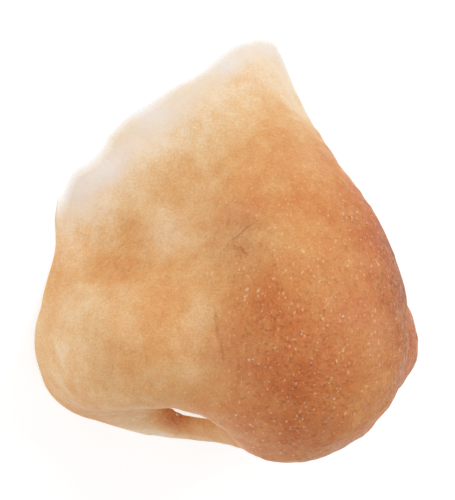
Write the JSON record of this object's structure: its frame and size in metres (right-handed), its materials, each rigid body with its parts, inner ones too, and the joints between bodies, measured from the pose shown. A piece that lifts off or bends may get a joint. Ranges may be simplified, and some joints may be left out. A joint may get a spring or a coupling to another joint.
{
  "type": "costume nose",
  "caption": "Oversized false nose for fancy dress: a hollow latex shell, open at the back, with cut nostrils and a thin edge that is glued to the face.",
  "frame": {"origin": "under the middle of the nose, on the plane of its glue edge", "axes": "+X across the nose to the wearer's left, +Y from the tip up to the root between the eyes, +Z out of the face"},
  "size_m": [0.0632, 0.062, 0.0388],
  "materials": {
    "latex_skin": "satin"
  },
  "bodies": {
    "root": {"nose_shell": "latex_skin"}
  },
  "joints": []
}
